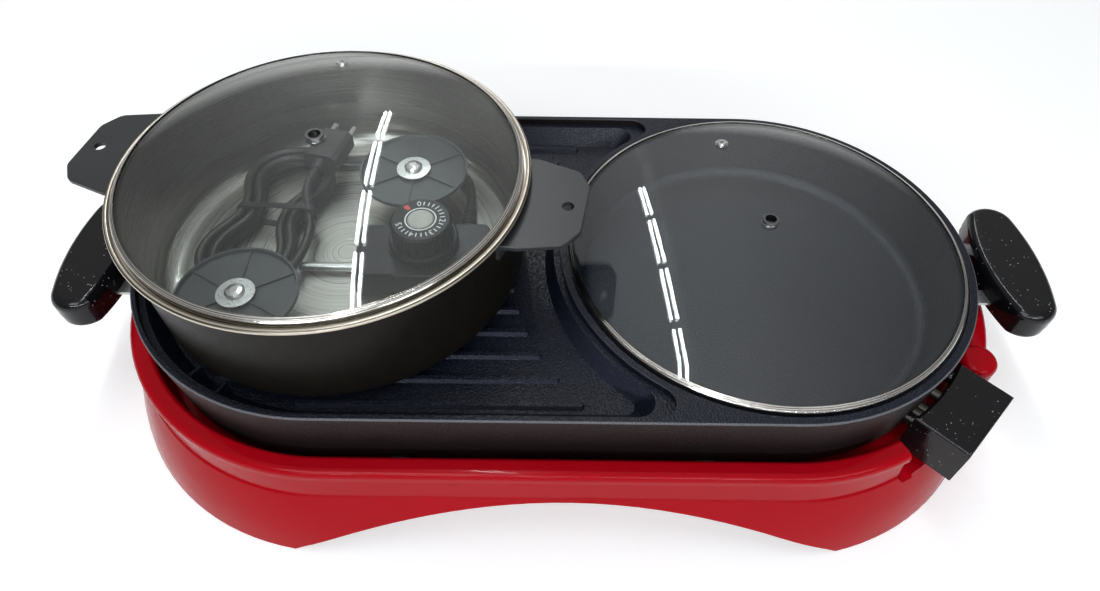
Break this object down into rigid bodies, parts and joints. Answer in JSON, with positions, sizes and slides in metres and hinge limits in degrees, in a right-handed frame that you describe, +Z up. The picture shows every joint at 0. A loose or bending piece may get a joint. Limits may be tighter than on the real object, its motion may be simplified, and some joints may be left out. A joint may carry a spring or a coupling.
{
  "type": "electric hot pot with lid",
  "caption": "Long electric party cooker: a flared base carries a cast pan with a ribbed grill half and a round well, with domed glass lids and a lift-off stock pot riding on the grill.",
  "frame": {"origin": "on the table under the middle of the long pan", "axes": "+X along the length towards the round well, +Y to the back, +Z up"},
  "size_m": [0.716, 0.3634, 0.2123],
  "materials": {
    "black_plastic": "gloss black heat-proof moulding",
    "brass_contacts": "plain",
    "bright_steel": "polished",
    "cap_plastic": "pale satin insert",
    "controller_plastic": "satin moulding",
    "cord_jacket": "smooth flexible jacket",
    "element_sheath": "dull sheath",
    "knob_plastic": "fine matt moulding",
    "lid_glass": "clear domed glass",
    "pan_coating": "cast aluminium with a dark stippled non-stick coat",
    "plain_steel": "satin steel",
    "pot_coating": "satin dark coat outside, brushed inside",
    "red_moulding": "high gloss moulding",
    "rubber_pads": "soft matt rubber",
    "tie_plastic": "thin flat band",
    "tray_metal": "bright rolled sheet"
  },
  "bodies": {
    "base": {"base_shell": "red_moulding", "pan_rest_pads": "rubber_pads", "foot_pads": "rubber_pads", "heat_reflector": "tray_metal"},
    "pan": {"pan_casting": "pan_coating", "heating_element": "element_sheath", "terminal_pins": "plain_steel", "element_clips": "plain_steel", "probe_tube": "plain_steel", "guard_lower": "black_plastic", "guard_upper": "black_plastic", "guard_spacers": "black_plastic", "guard_screws": "plain_steel", "handle_left": "black_plastic", "handle_grip_left": "black_plastic", "handle_right": "black_plastic", "handle_grip_right": "black_plastic", "handle_straps": "plain_steel", "handle_screws": "plain_steel"},
    "well_lid": {"well_lid_glass": "lid_glass", "well_lid_band": "bright_steel", "well_lid_eyelet": "plain_steel", "well_lid_vent": "plain_steel"},
    "pot": {"pot_body": "pot_coating", "pot_ear_left": "knob_plastic", "pot_ear_right": "knob_plastic", "pot_ear_rivets": "plain_steel", "case_lower": "controller_plastic", "case_upper": "controller_plastic", "probe_rod": "plain_steel", "contact_sleeves": "brass_contacts", "strain_relief": "cord_jacket", "cord_lead": "cord_jacket", "cord_hank": "cord_jacket", "cord_plug_lead": "cord_jacket", "cord_tie": "tie_plastic", "plug_body": "cord_jacket", "plug_pins": "plain_steel", "lid_knob_1": "knob_plastic", "lid_knob_2": "knob_plastic", "knob_washers": "plain_steel", "knob_screws": "bright_steel"},
    "pot_lid": {"pot_lid_glass": "lid_glass", "pot_lid_band": "bright_steel", "pot_lid_eyelet": "plain_steel", "pot_lid_vent": "plain_steel"},
    "dial": {"control_dial": "controller_plastic", "dial_cap": "cap_plastic"}
  },
  "joints": [
    {"name": "pan_lift", "type": "slide", "parent": "base", "child": "pan", "axis": [0, 0, 1], "range_m": [0, 0.15]},
    {"name": "well_lid_lift", "type": "slide", "parent": "pan", "child": "well_lid", "axis": [0.33, 0, 0.944], "range_m": [0, 0.12]},
    {"name": "pot_lift", "type": "slide", "parent": "pan", "child": "pot", "axis": [0, 0, 1], "range_m": [0, 0.15]},
    {"name": "pot_lid_lift", "type": "slide", "parent": "pot", "child": "pot_lid", "axis": [0, 0, 1], "range_m": [0, 0.1]},
    {"name": "dial_turn", "type": "hinge", "parent": "pot", "child": "dial", "pos_m": [-0.092, -0.011, 0.14], "axis": [0, 0, 1], "range_deg": [0, 270]}
  ]
}
